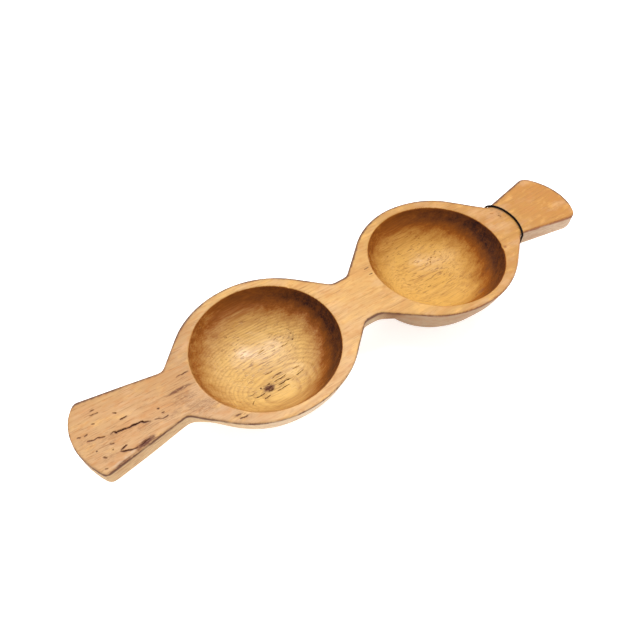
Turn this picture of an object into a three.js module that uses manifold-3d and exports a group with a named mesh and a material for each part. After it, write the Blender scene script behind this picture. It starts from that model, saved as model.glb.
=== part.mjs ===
// Divided serving tray, carved from one board: two round bowls side by side, a waist
// between them, a fish-tail handle at each end, and a thin cord tied round the neck of
// the handle at +X. Millimetres, +Z up, both bowl feet on z = 0, the length along X, and
// the middle of the length and of the greatest width on the origin.
import * as THREE from 'three';
import { mergeVertices, toCreasedNormals } from 'three/addons/utils/BufferGeometryUtils.js';
import Module from 'manifold-3d';

const trayHeight = 43;

// The waist between the bowls, and how far each of its corners stands off its bowl's end
const waist = {
  middleX: -1.75, length: 14.5, halfWidth: 22.2, thickness: 14, edgeRound: 7,
  fillet: 3.5, leftStandOff: 3.15, rightStandOff: 5.95,
};
waist.leftX = waist.middleX - waist.length / 2;
waist.rightX = waist.middleX + waist.length / 2;

// The bowls: a round hollow in each, and an outside a little longer than it is wide
const leftRimRadius = 55;
const rightRimRadius = 55.7;
const sideRim = 7.7;               // width of the rim at the sides of a bowl
const endRim = 13.7;               // and at its ends
const bowls = { left: { rimRadius: leftRimRadius }, right: { rimRadius: rightRimRadius } };
Object.values(bowls).forEach((bowl) => {
  bowl.outerHalfWidth = bowl.rimRadius + sideRim;
  bowl.outerHalfLength = bowl.rimRadius + endRim;
});
bowls.left.x = waist.leftX - waist.leftStandOff - bowls.left.outerHalfLength;
bowls.right.x = waist.rightX + waist.rightStandOff + bowls.right.outerHalfLength;
const hollowDepth = 34;
const hollowFloorPower = 2.2;      // higher makes the floor of the hollow flatter
const hollowWallPower = 1.6;       // higher makes the wall steeper at the rim
const rimSoftening = 1;
const hollowRunOut = 5;            // how far the shape that cuts a hollow stands past the top face
const outsideDepth = 55;           // depth the outside would reach if the foot weren't flat
const outsidePower = 4;            // higher makes the sides fuller
const footBlend = 16;              // softens the edge round the flat foot
const uprightFrom = 0.75;          // beside a bowl the board's edge slopes as the bowl does, up to
const uprightTo = 1.1;             // here it turns upright, as parts of the bowl's half length

// The handles, each from the notch that stands off its bowl's end out to the tip
const leftHandleLength = 70;
const rightHandleLength = 66.8;
const handles = {
  left: {
    standOff: 2.75, neckHalfWidth: 20.5, endHalfWidth: 30.8, length: leftHandleLength,
    endRadius: 50, cornerLength: 2.5, thickness: 16, edgeRound: 3.5,
    neckThickness: 16, neckEdgeRound: 6, endSkew: 12,
  },
  right: {
    standOff: 5.25, neckHalfWidth: 19.6, endHalfWidth: 31.2, length: rightHandleLength,
    endRadius: 46, cornerLength: 5.5, thickness: 17, edgeRound: 5,
    neckThickness: 18, neckEdgeRound: 5, endSkew: 14,
  },
};
Object.entries(handles).forEach(([side, handle]) => {
  handle.notchX = Math.abs(bowls[side].x) + bowls[side].outerHalfLength + handle.standOff;
  handle.tipX = handle.notchX + handle.length;
});
const notchFillet = 3;
const tipHalfWidth = 4;            // half width of the last section, where the end arc is flat

// How far the hand-cut plan leans off the straight centre line, at places on the way
const lean = {
  leftTip: 2.5, leftEnd: -0.5, leftNotch: -0.4, leftBowl: 0.6,
  waist: -1.4, rightBowl: 1.2, rightNotch: -2.4, rightEnd: -2.1, rightTip: -3,
};
const shoulder = 0.6;              // the part of a bowl's half length that keeps its bowl's lean

// The cord tied round the right-hand neck: it lies slack on the top face, bowed towards the
// handle, drops into both notches and hangs a little below the neck, where it is knotted.
// Its places are measured from the middle of the neck's top face, at the notches
const cordDiameter = 1.8;
const cordSides = 8;
const cordSteps = 64;
const knotRadius = 2.3;
const knotStretch = 1.35;
const knotSides = 10;
const knotRings = 8;
const tailSteps = 4;
const knotPlace = new THREE.Vector3(0.5, 5, -20.8);
const loopRoute = [
  knotPlace,
  new THREE.Vector3(0.5, 0, -19.6),
  new THREE.Vector3(0.4, -7, -19.4),
  new THREE.Vector3(0.2, -14, -19.3),
  new THREE.Vector3(-0.2, -19.3, -18.8),
  new THREE.Vector3(-0.5, -22.7, -17.1),
  new THREE.Vector3(-1.1, -24.7, -14.5),
  new THREE.Vector3(-1.3, -25, -11),
  new THREE.Vector3(-1.3, -25, -7),
  new THREE.Vector3(-1.2, -25, -3.2),
  new THREE.Vector3(-0.9, -24.8, -0.8),
  new THREE.Vector3(-0.2, -23.5, 0.9),
  new THREE.Vector3(1.2, -21.4, 1.25),
  new THREE.Vector3(2.9, -18.6, 1.25),
  new THREE.Vector3(4.9, -14.6, 1.25),
  new THREE.Vector3(6.7, -9.6, 1.25),
  new THREE.Vector3(7.7, -4.2, 1.25),
  new THREE.Vector3(7.8, 1.3, 1.25),
  new THREE.Vector3(7.2, 6.6, 1.25),
  new THREE.Vector3(5.8, 11.4, 1.25),
  new THREE.Vector3(3.9, 15.2, 1.25),
  new THREE.Vector3(1.8, 17.8, 1.25),
  new THREE.Vector3(0.4, 19.1, 0.9),
  new THREE.Vector3(-0.3, 19.7, -0.8),
  new THREE.Vector3(-0.5, 19.8, -3.5),
  new THREE.Vector3(-0.6, 19.9, -7.5),
  new THREE.Vector3(-0.6, 19.9, -11.5),
  new THREE.Vector3(-0.5, 19.6, -15),
  new THREE.Vector3(-0.3, 17.8, -17.9),
  new THREE.Vector3(0, 14.4, -19.4),
  new THREE.Vector3(0.3, 10, -19.6),
  knotPlace,
];
const tailRoutes = [
  [knotPlace, new THREE.Vector3(2.1, 6.6, -23.4), new THREE.Vector3(3.1, 7.4, -26.8)],
  [knotPlace, new THREE.Vector3(-0.7, 5.6, -23.8), new THREE.Vector3(-1.9, 6.6, -27.6)],
];

// Edges and blends all round
const topSoftening = 1.2;
const leastEdgeWall = 2.4;
const undersideBlend = 10;         // how widely the bowls flow into the necks and waist

// Fineness of the loft
const bowlStep = 4.5;
const handleStep = 9;
const filletSteps = 4;
const arcSteps = 22;
const tipSteps = 7;
const underSteps = 10;
const underCrowding = 1.7;         // crowds the points of a section towards its edges
const hollowSides = 48;
const hollowRings = 11;
const sameVertex = 1e-4;           // vertices nearer to each other than this are one
const woodCrease = 0.7;            // edges that turn by more than this, in radians, stay sharp
const cordCrease = 1;

const wood = new THREE.MeshStandardMaterial({ color: 0xd9a066, roughness: 0.45, metalness: 0 });
const blackCord = new THREE.MeshStandardMaterial({ color: 0x15120f, roughness: 0.8, metalness: 0 });

const wasm = await Module();
wasm.setup();

// Turns a closed geometry into a solid that can be joined and cut
function solidOf(geometry) {
  const bare = geometry.clone();
  bare.deleteAttribute('normal');
  bare.deleteAttribute('uv');
  const merged = mergeVertices(bare, sameVertex);
  return new wasm.Manifold(new wasm.Mesh({
    numProp: 3,
    vertProperties: new Float32Array(merged.attributes.position.array),
    triVerts: new Uint32Array(merged.index.array),
  }));
}

function geometryOf(solid) {
  const mesh = solid.getMesh();
  const geometry = new THREE.BufferGeometry();
  geometry.setAttribute('position', new THREE.BufferAttribute(mesh.vertProperties, 3));
  geometry.setIndex(new THREE.BufferAttribute(mesh.triVerts, 1));
  return geometry;
}

// A value that eases from one key to the next along X; keys are [x, value], in order
function along(keys, x) {
  let value = keys[0][1];
  for (let i = 1; i < keys.length; i += 1) {
    const [x0, value0] = keys[i - 1];
    const [x1, value1] = keys[i];
    if (x >= x0) value = value0 + (value1 - value0) * THREE.MathUtils.smoothstep(x, x0, x1);
  }
  return value;
}

// The deeper of two depths, blended where they are nearly equal
function blendedDeeper(a, b, blend) {
  const overlap = Math.max(blend - Math.abs(a - b), 0) / blend;
  return Math.max(a, b) + overlap * overlap * blend / 4;
}

function blendedShallower(a, b, blend) {
  return -blendedDeeper(-a, -b, blend);
}

// Points of a rounded corner that starts and ends a given length away from it
function roundedCorner(before, corner, after, length, steps) {
  const start = before.clone().sub(corner).setLength(length).add(corner);
  const end = after.clone().sub(corner).setLength(length).add(corner);
  return new THREE.QuadraticBezierCurve(start, corner, end).getPoints(steps);
}

// Where a line from an outside point touches a bowl's oval outline: its angle on the oval
function touchAngle(bowl, point) {
  const u = (point.x - bowl.x) / bowl.outerHalfLength;
  const v = point.y / bowl.outerHalfWidth;
  const spread = Math.acos(1 / Math.hypot(u, v));
  const towards = Math.atan2(v, u);
  return point.x < bowl.x ? towards - spread : towards + spread;
}

function ovalPoint(bowl, angle) {
  return new THREE.Vector2(
    bowl.x + bowl.outerHalfLength * Math.cos(angle),
    bowl.outerHalfWidth * Math.sin(angle),
  );
}

// The +X end of the plan's edge: along the handle, round its corner, to the tip
function handleEdge(handle) {
  const arcX = handle.tipX - handle.endRadius;
  const arcPoint = (angle) => new THREE.Vector2(
    arcX + handle.endRadius * Math.cos(angle),
    handle.endRadius * Math.sin(angle),
  );
  const cornerAngle = Math.asin(handle.endHalfWidth / handle.endRadius);
  const lastAngle = Math.asin(tipHalfWidth / handle.endRadius);
  const notch = new THREE.Vector2(handle.notchX, handle.neckHalfWidth);
  const corner = arcPoint(cornerAngle);
  const arcStart = cornerAngle - handle.cornerLength / handle.endRadius;
  const points = roundedCorner(notch, corner, arcPoint(arcStart), handle.cornerLength, filletSteps);
  for (let i = 1; i <= tipSteps; i += 1) {
    points.push(arcPoint(THREE.MathUtils.lerp(arcStart, lastAngle, i / tipSteps)));
  }
  return points;
}

// The edge of the plan at +Y, from the tip at -X to the tip at +X, before it leans
function planEdge() {
  const { left, right } = bowls;
  const leftNotch = new THREE.Vector2(-handles.left.notchX, handles.left.neckHalfWidth);
  const rightNotch = new THREE.Vector2(handles.right.notchX, handles.right.neckHalfWidth);
  const leftWaist = new THREE.Vector2(waist.leftX, waist.halfWidth);
  const rightWaist = new THREE.Vector2(waist.rightX, waist.halfWidth);
  const ovalRun = (bowl, from, to) => {
    const first = touchAngle(bowl, from);
    const last = touchAngle(bowl, to);
    const points = [];
    for (let i = 0; i <= arcSteps; i += 1) {
      points.push(ovalPoint(bowl, THREE.MathUtils.lerp(first, last, i / arcSteps)));
    }
    return points;
  };
  const leftHandle = handleEdge(handles.left).map((p) => new THREE.Vector2(-p.x, p.y)).reverse();
  const rightHandle = handleEdge(handles.right);
  const leftOval = ovalRun(left, leftNotch, leftWaist);
  const rightOval = ovalRun(right, rightWaist, rightNotch);
  return [
    ...leftHandle,
    ...roundedCorner(leftHandle.at(-1), leftNotch, leftOval[0], notchFillet, filletSteps),
    ...leftOval,
    ...roundedCorner(leftOval.at(-1), leftWaist, rightWaist, waist.fillet, filletSteps),
    ...roundedCorner(leftWaist, rightWaist, rightOval[0], waist.fillet, filletSteps),
    ...rightOval,
    ...roundedCorner(rightOval.at(-1), rightNotch, rightHandle[0], notchFillet, filletSteps),
    ...rightHandle,
  ];
}

const edge = planEdge();

function halfWidthAt(x) {
  const next = edge.findIndex((p) => p.x >= x);
  if (next <= 0) return edge[next === 0 ? 0 : edge.length - 1].y;
  const a = edge[next - 1];
  const b = edge[next];
  return THREE.MathUtils.mapLinear(x, a.x, b.x, a.y, b.y);
}

const leftShoulderX = bowls.left.x - shoulder * bowls.left.outerHalfLength;
const rightShoulderX = bowls.right.x + shoulder * bowls.right.outerHalfLength;
const leanKeys = [
  [-handles.left.tipX, lean.leftTip],
  [-handles.left.tipX + handles.left.endSkew, lean.leftEnd],
  [-handles.left.notchX, lean.leftNotch],
  [leftShoulderX, lean.leftBowl],
  [bowls.left.x, lean.leftBowl],
  [0, lean.waist],
  [bowls.right.x, lean.rightBowl],
  [rightShoulderX, lean.rightBowl],
  [handles.right.notchX, lean.rightNotch],
  [handles.right.tipX - handles.right.endSkew, lean.rightEnd],
  [handles.right.tipX, lean.rightTip],
];
const thicknessKeys = [
  [-handles.left.tipX, handles.left.thickness],
  [-handles.left.notchX, handles.left.neckThickness],
  [0, waist.thickness],
  [handles.right.notchX, handles.right.neckThickness],
  [handles.right.tipX, handles.right.thickness],
];
const edgeRoundKeys = [
  [-handles.left.tipX, handles.left.edgeRound],
  [-(handles.left.notchX + handles.left.tipX) / 2, handles.left.edgeRound],
  [-handles.left.notchX, handles.left.neckEdgeRound],
  [0, waist.edgeRound],
  [handles.right.notchX, handles.right.neckEdgeRound],
  [(handles.right.notchX + handles.right.tipX) / 2, handles.right.edgeRound],
  [handles.right.tipX, handles.right.edgeRound],
];

// Distance in plan from a point to the edge, which both sides share
function distanceToEdge(x, y) {
  const point = new THREE.Vector3(x, Math.abs(y), 0);
  const line = new THREE.Line3();
  const nearest = new THREE.Vector3();
  let least = Infinity;
  for (let i = 1; i < edge.length; i += 1) {
    line.start.set(edge[i - 1].x, edge[i - 1].y, 0);
    line.end.set(edge[i].x, edge[i].y, 0);
    line.closestPointToPoint(point, true, nearest);
    least = Math.min(least, nearest.distanceTo(point));
  }
  const tip = x < 0 ? handles.left.tipX : handles.right.tipX;
  return Math.min(least, tip - Math.abs(x));
}

function nearerBowl(x) {
  return x < 0 ? bowls.left : bowls.right;
}

// Depth of a bowl's outside at a given part of the way out to its edge
function sideDepth(out) {
  return Math.max(outsideDepth * (1 - out ** outsidePower), 0);
}

// Depth of the underside of the handles, necks and waist below the top face: a plate with
// upright sides and rounded lower edges, whose sides slope as a bowl's do beside the bowls
function plateDepth(x, y) {
  const bowl = nearerBowl(x);
  const thickness = along(thicknessKeys, x);
  const round = along(edgeRoundKeys, x);
  const fromEdge = distanceToEdge(x, y);
  const inset = Math.min(fromEdge, round);
  const upright = thickness - round + Math.sqrt(round ** 2 - (round - inset) ** 2);
  const sloping = blendedShallower(thickness, sideDepth(1 - fromEdge / bowl.outerHalfWidth), round);
  const beside = Math.abs(x - bowl.x) / bowl.outerHalfLength;
  const turned = THREE.MathUtils.smoothstep(beside, uprightFrom, uprightTo);
  return THREE.MathUtils.lerp(sloping, upright, turned);
}

// Depth of the outside of the nearer bowl below the top face
function bowlDepth(x, y) {
  const bowl = nearerBowl(x);
  const out = Math.hypot((x - bowl.x) / bowl.outerHalfLength, y / bowl.outerHalfWidth);
  return blendedShallower(sideDepth(out), trayHeight + footBlend / 4, footBlend);
}

function undersideDepth(x, y) {
  const deepest = blendedDeeper(plateDepth(x, y), bowlDepth(x, y), undersideBlend);
  const atEdge = Math.min(distanceToEdge(x, y) / leastEdgeWall, 1);
  const unblended = Math.max(plateDepth(x, y), bowlDepth(x, y));
  return Math.max(THREE.MathUtils.lerp(unblended, deepest, atEdge), leastEdgeWall);
}

// One cross-section: across the top from -Y to +Y, then back along the underside
function sectionAt(x) {
  const halfWidth = halfWidthAt(x);
  const centre = along(leanKeys, x);
  const points = [
    new THREE.Vector3(x, centre - halfWidth, trayHeight - topSoftening),
    new THREE.Vector3(x, centre - halfWidth + topSoftening, trayHeight),
    new THREE.Vector3(x, centre + halfWidth - topSoftening, trayHeight),
    new THREE.Vector3(x, centre + halfWidth, trayHeight - topSoftening),
  ];
  for (let i = -underSteps; i <= underSteps; i += 1) {
    const across = 1 - (1 - Math.abs(i) / underSteps) ** underCrowding;
    const y = -Math.sign(i) * across * halfWidth;
    points.push(new THREE.Vector3(x, centre + y, trayHeight - undersideDepth(x, y)));
  }
  return points;
}

function middleOf(points) {
  return new THREE.Box3().setFromPoints(points).getCenter(new THREE.Vector3());
}

// A closed skin over cross-sections that all have as many points
function loft(sections) {
  const count = sections[0].length;
  const triangles = [];
  for (let s = 1; s < sections.length; s += 1) {
    for (let i = 0; i < count; i += 1) {
      const a = (s - 1) * count + i;
      const b = (s - 1) * count + (i + 1) % count;
      const c = s * count + (i + 1) % count;
      const d = s * count + i;
      triangles.push(a, c, b, a, d, c);
    }
  }
  const firstMiddle = sections.length * count;
  const lastMiddle = firstMiddle + 1;
  const lastStart = (sections.length - 1) * count;
  for (let i = 0; i < count; i += 1) {
    const next = (i + 1) % count;
    triangles.push(firstMiddle, i, next, lastMiddle, lastStart + next, lastStart + i);
  }
  const geometry = new THREE.BufferGeometry();
  geometry.setFromPoints([...sections.flat(), middleOf(sections[0]), middleOf(sections.at(-1))]);
  geometry.setIndex(triangles);
  return geometry;
}

// Where the cross-sections stand: at the plan's own points, and closer where they are far apart
function stations() {
  const places = [edge[0].x];
  edge.slice(1).forEach((point) => {
    const from = places.at(-1);
    const inBowl = Math.abs(point.x) < handles.left.notchX + notchFillet;
    const parts = Math.ceil((point.x - from) / (inBowl ? bowlStep : handleStep));
    for (let i = 1; i <= parts; i += 1) places.push(from + (point.x - from) * i / parts);
  });
  return places;
}

// The round hollow of a bowl, a turned shape that runs on past the top face
function hollow(bowl) {
  const profile = [new THREE.Vector2(0, trayHeight - hollowDepth)];
  for (let i = 1; i <= hollowRings; i += 1) {
    const out = Math.sin((i / hollowRings) * Math.PI / 2);
    const depth = hollowDepth * (1 - out ** hollowFloorPower) ** (1 / hollowWallPower);
    if (depth > rimSoftening) profile.push(new THREE.Vector2(out * bowl.rimRadius, trayHeight - depth));
  }
  profile.push(
    new THREE.Vector2(bowl.rimRadius, trayHeight - rimSoftening),
    new THREE.Vector2(bowl.rimRadius + rimSoftening, trayHeight),
    new THREE.Vector2(bowl.rimRadius + rimSoftening, trayHeight + hollowRunOut),
    new THREE.Vector2(0, trayHeight + hollowRunOut),
  );
  const geometry = new THREE.LatheGeometry(profile, hollowSides);
  geometry.rotateX(Math.PI / 2);
  geometry.translate(bowl.x, 0, 0);
  return geometry;
}

// The whole carved board: the lofted outside, less the two hollows, with its feet cut flat
function carvedTray() {
  const outside = solidOf(loft(stations().map(sectionAt)));
  const belowFeet = new THREE.BoxGeometry(2 * handles.right.tipX, 2 * handles.right.tipX, trayHeight);
  belowFeet.translate(0, 0, -trayHeight / 2);
  const board = outside
    .subtract(solidOf(belowFeet))
    .subtract(solidOf(hollow(bowls.left)))
    .subtract(solidOf(hollow(bowls.right)));
  const mesh = new THREE.Mesh(toCreasedNormals(geometryOf(board), woodCrease), wood);
  mesh.name = 'carved_tray';
  return mesh;
}

// A round cord laid along a smooth curve through the given points
function cordAlong(route, steps) {
  const section = new THREE.Shape();
  for (let i = 0; i < cordSides; i += 1) {
    const angle = (i / cordSides) * 2 * Math.PI;
    const x = Math.cos(angle) * cordDiameter / 2;
    const y = Math.sin(angle) * cordDiameter / 2;
    if (i === 0) section.moveTo(x, y);
    else section.lineTo(x, y);
  }
  section.closePath();
  const path = new THREE.CatmullRomCurve3(route, false, 'centripetal');
  return new THREE.ExtrudeGeometry(section, { steps, extrudePath: path });
}

// The knotted loop: the cord's two ends meet in a pulled-tight knot and leave it as tails
function neckCord() {
  const knot = new THREE.SphereGeometry(knotRadius, knotSides, knotRings);
  knot.scale(1, knotStretch, 1);
  knot.translate(knotPlace.x, knotPlace.y, knotPlace.z);
  let cord = solidOf(cordAlong(loopRoute, cordSteps)).add(solidOf(knot));
  tailRoutes.forEach((route) => {
    cord = cord.add(solidOf(cordAlong(route, tailSteps)));
  });
  const mesh = new THREE.Mesh(toCreasedNormals(geometryOf(cord), cordCrease), blackCord);
  mesh.position.set(handles.right.notchX, 0, trayHeight);
  mesh.name = 'neck_cord';
  return mesh;
}

const tray = new THREE.Group();
tray.add(carvedTray(), neckCord());
const middle = new THREE.Box3().setFromObject(tray).getCenter(new THREE.Vector3());
tray.position.set(-middle.x, -middle.y, 0);

export default tray;
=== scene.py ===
# Looks of the divided serving tray: the carved board, its cord, the floor, lights and camera.
# Everything is in metres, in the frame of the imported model. Lengths in the tables below are
# in millimetres and go through mm().
import math

import bmesh
import bpy
import numpy as np
from mathutils import Matrix, Vector


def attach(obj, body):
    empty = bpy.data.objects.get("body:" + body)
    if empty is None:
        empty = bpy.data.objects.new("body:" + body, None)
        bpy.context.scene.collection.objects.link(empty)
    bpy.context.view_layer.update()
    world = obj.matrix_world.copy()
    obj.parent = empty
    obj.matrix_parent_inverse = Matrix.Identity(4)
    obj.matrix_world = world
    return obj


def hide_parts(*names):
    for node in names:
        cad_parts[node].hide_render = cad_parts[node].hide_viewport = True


MM = 0.001

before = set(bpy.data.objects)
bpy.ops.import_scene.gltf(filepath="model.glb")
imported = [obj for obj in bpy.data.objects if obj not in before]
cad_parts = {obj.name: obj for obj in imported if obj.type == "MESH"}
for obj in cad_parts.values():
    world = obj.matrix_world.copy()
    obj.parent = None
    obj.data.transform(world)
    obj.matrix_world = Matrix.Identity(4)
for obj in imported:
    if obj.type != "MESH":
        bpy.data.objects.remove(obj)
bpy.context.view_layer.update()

# Where the model's middle lies from the middle of the plan that the sizes were taken on
SHIFT = Vector((0.007, -1.2, 0))

# The bowls' hollows, as in the solids
TRAY_HEIGHT = 43
BOWLS = {
    "left": {"x": -80.85, "rim_radius": 55},
    "right": {"x": 80.85, "rim_radius": 55.7},
}
HOLLOW_DEPTH = 34
FLOOR_POWER = 2.2
WALL_POWER = 1.6

# The camera, solved from the rims and the top face of the photographed tray
CAMERA_PLACE = (-176.56, -214.45, 366.52)
CAMERA_AZIMUTH = -0.58758
CAMERA_ELEVATION = 0.90855
CAMERA_ROLL = -0.007566
FOCAL_PIXELS = 554.407
FRAME_PIXELS = 640
SENSOR_WIDTH = 36
CLIP_START = 0.01             # in metres

# Uneven fields are sums of sine waves, whose lengths vary by this much
WAVE_COUNT = 7
WAVE_SPREAD = (0.6, 1.5)
WAVE_SUM = 2.6                # brings the sum to about unit size

# The fine surface
MERGE_DISTANCE = 1e-6         # in metres
VOXEL = 0.8
FLANK_BLEND = (1.6, 5)        # depths below the top face between which the flanks turn smooth
FLANK_ROUNDS = 30
SKIN_ROUNDS = 2
TOP_BAND = (1.5, 0.5)         # depths below the top face between which the skin joins it
TOP_WAVE = (0.12, 45, 2)      # the top face's unevenness: height, length and seed

# The skin of a hollow is found near its turned form and put on it
PROFILE_STEPS = 400
CATCH_GAP = 2.5
CATCH_MARGIN = 0.5
CATCH_DEPTH = 0.2
RIM_BLEND = (0.3, 1.6)        # depths below the top face between which the hollow takes over
GOUGE_WAVES = ((0.16, 26, 0), (0.05, 8, 10))

# What counts as a hollow's skin when it is coloured
HOLLOW_GAP = 1.5
HOLLOW_MARGIN = 0.6
HOLLOW_FADE = (0.3, 1.2)
STEEP_WALL = 10               # depth down to which a hollow's wall is nearly upright
STEEP_ALLOWANCE = 0.4

# How marks, lines and stains are drawn; a fade goes from full to none, in shares of the half width
LEAST_MARK_HEIGHT = 8.5       # no mark lies lower than the hollows' floors
REFINE_REACH = 1.5            # how far from a mark the mesh is made finer
REFINE_CUTS = 2
MARK_MARGIN = 1.5
MARK_FADE = (0.35, 1.35)
MARK_TAPER = 4                # a mark narrows over the first and last quarter of its route
MARK_LEAST_TAPER = 0.08
MARK_SHADE = 0.35             # the colour of a mark of no depth, and what a millimetre adds
MARK_SHADE_BY_DEPTH = 0.55
JAG_WAVES = ((0.22, 4.5, 5), (0.1, 1.5, 6))
WIDTH_WAVE = (0.2, 3.5, 20)
CHIP_WAVE = (0.25, 1.8, 8)
CHIP_BAND = (3, 1)            # depths below the top face between which a chip sets in
CHIP_FADE = (0.5, 1)
LINE_FADE = (0.4, 1.6)
STAIN_FADE = (0.25, 1.5)
STAIN_DEPTH = 2               # how far down the outer sides a stain reaches
STAIN_RISE_TOP = 1.5
STAIN_RISE_HOLLOW = 1

# The dark line along the outer edge lies where the skin's normal rises by less than a limit
EDGE_DEPTH = 2.5
EDGE_STEEPEST = 0.1
EDGE_LIMIT = 0.7
EDGE_LIMIT_FAR = 0.97
EDGE_RIM_MARGIN = 2           # how far it stays off the hollows' rims
EDGE_ROUNDS = 2
FAR_SIDE = np.array((0.554, 0.832))   # the way in plan that the sides with the wider line look
FAR_LEAST = 0.08
FAR_RING = 0.7                # strength of the ring that widens it

# The cord round the neck, at its real route
CORD_DIAMETER = 1.8
CORD_STRANDS = 3
STRAND_SHARE = 0.56           # a strand's diameter as a share of the cord's
CORD_PITCH = 5.2
CORD_STEP = 0.45
SPAN_STEPS = 24               # steps along the curve between two points of a route
LEAST_SPAN = 1e-6
STRAND_SIDES = 8
STRAND_TIP = 0.55             # width of a strand's very end as a share of its own
KNOT_PLACE = (156, 5, 22.2)
LOOP_ROUTE = [
    KNOT_PLACE,
    (156, 0, 23.4), (155.9, -7, 23.6), (155.7, -14, 23.7), (155.3, -19.3, 24.2),
    (155, -22.7, 25.9), (154.4, -24.7, 28.5), (154.2, -25, 32), (154.2, -25, 36),
    (154.3, -25, 39.8), (154.6, -24.8, 42.1), (155.3, -23.5, 43.6), (156.7, -21.4, 43.95),
    (158.4, -18.6, 43.95), (160.4, -14.6, 43.95), (162.2, -9.6, 43.95), (163.2, -4.2, 43.95),
    (163.3, 1.3, 43.95), (162.7, 6.6, 43.95), (161.2, 11.2, 43.9), (159.2, 14.6, 43.75),
    (157.2, 17, 43.3), (155.9, 18.4, 42.5), (155.2, 19.2, 41), (155, 19.6, 39),
    (154.9, 19.9, 35.5), (154.9, 19.9, 31.5), (155, 19.6, 28), (155.2, 17.8, 25.1),
    (155.5, 14.4, 23.6), (155.8, 10, 23.4),
    KNOT_PLACE,
]
TAIL_ROUTES = [
    [KNOT_PLACE, (157.6, 6.6, 19.6), (158.6, 7.4, 16.2)],
    [KNOT_PLACE, (154.8, 5.6, 19.2), (153.6, 6.6, 15.4)],
]
KNOT_TURNS = 2.5
KNOT_RADIUS = 1.35
KNOT_PITCH = 1.75
KNOT_STEPS = 60

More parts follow.
